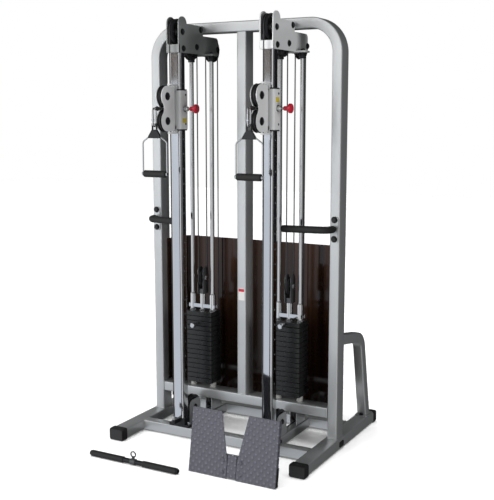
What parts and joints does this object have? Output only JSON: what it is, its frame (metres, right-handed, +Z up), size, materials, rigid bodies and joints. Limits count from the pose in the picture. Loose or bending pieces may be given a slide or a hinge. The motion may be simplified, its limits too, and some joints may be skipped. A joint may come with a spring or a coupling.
{
  "type": "cable crossover machine",
  "caption": "Dual-column cable crossover machine with sliding swivel pulley carriages, selector weight stacks, bent-tube arch frame, footplates and stirrup handles.",
  "frame": {"origin": "on the floor, at the middle of the whole footprint", "axes": "+X to the user's right, +Y to the machine's back, +Z up; the user stands at -Y facing +Y"},
  "size_m": [1.094, 1.15, 2.094],
  "materials": {
    "silver_paint": "smooth satin silver powder coat",
    "chrome": "polished chrome plate",
    "bracket_paint": "satin grey powder coat",
    "cast_iron": "charcoal enamel over rough castings",
    "nylon": "moulded black nylon",
    "rubber": "soft black foam and rubber",
    "smoke_plastic": "smoked brown translucent sheet",
    "tread_plate": "dimpled grey tread plate",
    "red_plastic": "glossy red knob on a steel pin",
    "cable_sheath": "black nylon sheath over steel strand"
  },
  "bodies": {
    "frame": {"arch_frame": "silver_paint", "centre_frame": "silver_paint", "front_floor_member": "silver_paint", "rear_floor_member": "silver_paint", "rear_shroud": "smoke_plastic", "left_foot": "silver_paint", "left_rear_brace": "silver_paint", "left_grab_handle": "rubber", "left_base_rail": "silver_paint", "left_column": "chrome", "left_top_bracket": "bracket_paint", "left_outer_guide_rod": "chrome", "left_inner_guide_rod": "chrome", "left_resting_plates": "cast_iron", "left_cable": "cable_sheath", "left_footplate": "tread_plate", "right_foot": "silver_paint", "right_rear_brace": "silver_paint", "right_grab_handle": "rubber", "right_base_rail": "silver_paint", "right_column": "chrome", "right_top_bracket": "bracket_paint", "right_outer_guide_rod": "chrome", "right_inner_guide_rod": "chrome", "right_resting_plates": "cast_iron", "right_cable": "cable_sheath", "right_footplate": "tread_plate", "footplate_support": "tread_plate"},
    "left_carriage": {"left_carriage": "silver_paint"},
    "left_pull_pin": {"left_pull_pin": "red_plastic"},
    "left_head": {"left_pulley_head": "silver_paint", "left_cable_end": "chrome"},
    "left_upper_head_wheel": {"left_upper_head_pulley": "nylon"},
    "left_lower_head_wheel": {"left_lower_head_pulley": "nylon"},
    "left_stirrup": {"left_stirrup_handle": "rubber"},
    "left_lift": {"left_lifted_weights": "cast_iron"},
    "left_float_wheel": {"left_floating_pulley": "nylon"},
    "left_selector": {"left_selector_pin": "chrome"},
    "left_top_front_wheel": {"left_top_front_pulley": "nylon"},
    "left_top_middle_wheel": {"left_top_middle_pulley": "nylon"},
    "left_top_rear_wheel": {"left_top_rear_pulley": "nylon"},
    "left_base_front_wheel": {"left_base_front_pulley": "nylon"},
    "left_base_rear_wheel": {"left_base_rear_pulley": "nylon"},
    "right_carriage": {"right_carriage": "silver_paint"},
    "right_pull_pin": {"right_pull_pin": "red_plastic"},
    "right_head": {"right_pulley_head": "silver_paint", "right_cable_end": "chrome"},
    "right_upper_head_wheel": {"right_upper_head_pulley": "nylon"},
    "right_lower_head_wheel": {"right_lower_head_pulley": "nylon"},
    "right_stirrup": {"right_stirrup_handle": "rubber"},
    "right_lift": {"right_lifted_weights": "cast_iron"},
    "right_float_wheel": {"right_floating_pulley": "nylon"},
    "right_selector": {"right_selector_pin": "chrome"},
    "right_top_front_wheel": {"right_top_front_pulley": "nylon"},
    "right_top_middle_wheel": {"right_top_middle_pulley": "nylon"},
    "right_top_rear_wheel": {"right_top_rear_pulley": "nylon"},
    "right_base_front_wheel": {"right_base_front_pulley": "nylon"},
    "right_base_rear_wheel": {"right_base_rear_pulley": "nylon"},
    "straight_bar": {"straight_bar": "rubber"}
  },
  "joints": [
    {"name": "left_carriage_slide", "type": "slide", "parent": "frame", "child": "left_carriage", "axis": [0, 0, 1], "range_m": [-1.2325, 0.0725]},
    {"name": "left_pull_pin_slide", "type": "slide", "parent": "left_carriage", "child": "left_pull_pin", "axis": [1, 0, 0], "range_m": [-0.009, 0.003]},
    {"name": "left_head_swivel", "type": "hinge", "parent": "left_carriage", "child": "left_head", "pos_m": [-0.252, -0.188, 1.6575], "axis": [0, 0, 1], "range_deg": [-80, 80]},
    {"name": "left_upper_head_pulley_spin", "type": "hinge", "parent": "left_head", "child": "left_upper_head_wheel", "pos_m": [-0.252, -0.238, 1.7155], "axis": [1, 0, 0], "continuous": true},
    {"name": "left_lower_head_pulley_spin", "type": "hinge", "parent": "left_head", "child": "left_lower_head_wheel", "pos_m": [-0.252, -0.238, 1.5995], "axis": [1, 0, 0], "continuous": true},
    {"name": "left_stirrup_swing", "type": "hinge", "parent": "left_head", "child": "left_stirrup", "pos_m": [-0.252, -0.324, 1.586], "axis": [1, 0, 0], "range_deg": [-70, 20]},
    {"name": "left_weight_lift", "type": "slide", "parent": "frame", "child": "left_lift", "axis": [0, 0, 1], "range_m": [0, 0.95], "deforming": ["left_cable"]},
    {"name": "left_floating_pulley_spin", "type": "hinge", "parent": "left_lift", "child": "left_float_wheel", "pos_m": [-0.252, 0.1, 0.79], "axis": [1, 0, 0], "continuous": true},
    {"name": "left_selector_slide", "type": "slide", "parent": "left_lift", "child": "left_selector", "axis": [0, -1, 0], "range_m": [0, 0.056]},
    {"name": "left_top_front_pulley_spin", "type": "hinge", "parent": "frame", "child": "left_top_front_wheel", "pos_m": [-0.252, -0.13, 2.022], "axis": [1, 0, 0], "continuous": true},
    {"name": "left_top_middle_pulley_spin", "type": "hinge", "parent": "frame", "child": "left_top_middle_wheel", "pos_m": [-0.252, -0.001, 1.958], "axis": [1, 0, 0], "continuous": true},
    {"name": "left_top_rear_pulley_spin", "type": "hinge", "parent": "frame", "child": "left_top_rear_wheel", "pos_m": [-0.252, 0.201, 1.958], "axis": [1, 0, 0], "continuous": true},
    {"name": "left_base_front_pulley_spin", "type": "hinge", "parent": "frame", "child": "left_base_front_wheel", "pos_m": [-0.252, -0.018, 0.13], "axis": [1, 0, 0], "continuous": true},
    {"name": "left_base_rear_pulley_spin", "type": "hinge", "parent": "frame", "child": "left_base_rear_wheel", "pos_m": [-0.252, 0.201, 0.13], "axis": [1, 0, 0], "continuous": true},
    {"name": "right_carriage_slide", "type": "slide", "parent": "frame", "child": "right_carriage", "axis": [0, 0, 1], "range_m": [-1.2325, 0.0725]},
    {"name": "right_pull_pin_slide", "type": "slide", "parent": "right_carriage", "child": "right_pull_pin", "axis": [1, 0, 0], "range_m": [-0.009, 0.003]},
    {"name": "right_head_swivel", "type": "hinge", "parent": "right_carriage", "child": "right_head", "pos_m": [0.252, -0.188, 1.6575], "axis": [0, 0, 1], "range_deg": [-80, 80]},
    {"name": "right_upper_head_pulley_spin", "type": "hinge", "parent": "right_head", "child": "right_upper_head_wheel", "pos_m": [0.252, -0.238, 1.7155], "axis": [1, 0, 0], "continuous": true},
    {"name": "right_lower_head_pulley_spin", "type": "hinge", "parent": "right_head", "child": "right_lower_head_wheel", "pos_m": [0.252, -0.238, 1.5995], "axis": [1, 0, 0], "continuous": true},
    {"name": "right_stirrup_swing", "type": "hinge", "parent": "right_head", "child": "right_stirrup", "pos_m": [0.252, -0.324, 1.586], "axis": [1, 0, 0], "range_deg": [-70, 20]},
    {"name": "right_weight_lift", "type": "slide", "parent": "frame", "child": "right_lift", "axis": [0, 0, 1], "range_m": [0, 0.95], "deforming": ["right_cable"]},
    {"name": "right_floating_pulley_spin", "type": "hinge", "parent": "right_lift", "child": "right_float_wheel", "pos_m": [0.252, 0.1, 0.79], "axis": [1, 0, 0], "continuous": true},
    {"name": "right_selector_slide", "type": "slide", "parent": "right_lift", "child": "right_selector", "axis": [0, -1, 0], "range_m": [0, 0.056]},
    {"name": "right_top_front_pulley_spin", "type": "hinge", "parent": "frame", "child": "right_top_front_wheel", "pos_m": [0.252, -0.13, 2.022], "axis": [1, 0, 0], "continuous": true},
    {"name": "right_top_middle_pulley_spin", "type": "hinge", "parent": "frame", "child": "right_top_middle_wheel", "pos_m": [0.252, -0.001, 1.958], "axis": [1, 0, 0], "continuous": true},
    {"name": "right_top_rear_pulley_spin", "type": "hinge", "parent": "frame", "child": "right_top_rear_wheel", "pos_m": [0.252, 0.201, 1.958], "axis": [1, 0, 0], "continuous": true},
    {"name": "right_base_front_pulley_spin", "type": "hinge", "parent": "frame", "child": "right_base_front_wheel", "pos_m": [0.252, -0.018, 0.13], "axis": [1, 0, 0], "continuous": true},
    {"name": "right_base_rear_pulley_spin", "type": "hinge", "parent": "frame", "child": "right_base_rear_wheel", "pos_m": [0.252, 0.201, 0.13], "axis": [1, 0, 0], "continuous": true},
    {"name": "straight_bar_lift_off", "type": "slide", "parent": "frame", "child": "straight_bar", "axis": [0, 0, 1], "range_m": [0, 0.3]}
  ],
  "couplings": [
    {"joint": "left_top_front_pulley_spin", "follows": "left_weight_lift", "rad_per_m": 34.483},
    {"joint": "left_top_middle_pulley_spin", "follows": "left_weight_lift", "rad_per_m": 33.898},
    {"joint": "left_floating_pulley_spin", "follows": "left_weight_lift", "rad_per_m": -23.809},
    {"joint": "left_upper_head_pulley_spin", "follows": "left_weight_lift", "rad_per_m": -40},
    {"joint": "left_top_rear_pulley_spin", "follows": "left_carriage_slide", "rad_per_m": -16.949},
    {"joint": "left_base_front_pulley_spin", "follows": "left_carriage_slide", "rad_per_m": -16.949},
    {"joint": "left_base_rear_pulley_spin", "follows": "left_carriage_slide", "rad_per_m": -16.949},
    {"joint": "right_top_front_pulley_spin", "follows": "right_weight_lift", "rad_per_m": 34.483},
    {"joint": "right_top_middle_pulley_spin", "follows": "right_weight_lift", "rad_per_m": 33.898},
    {"joint": "right_floating_pulley_spin", "follows": "right_weight_lift", "rad_per_m": -23.809},
    {"joint": "right_upper_head_pulley_spin", "follows": "right_weight_lift", "rad_per_m": -40},
    {"joint": "right_top_rear_pulley_spin", "follows": "right_carriage_slide", "rad_per_m": -16.949},
    {"joint": "right_base_front_pulley_spin", "follows": "right_carriage_slide", "rad_per_m": -16.949},
    {"joint": "right_base_rear_pulley_spin", "follows": "right_carriage_slide", "rad_per_m": -16.949}
  ]
}
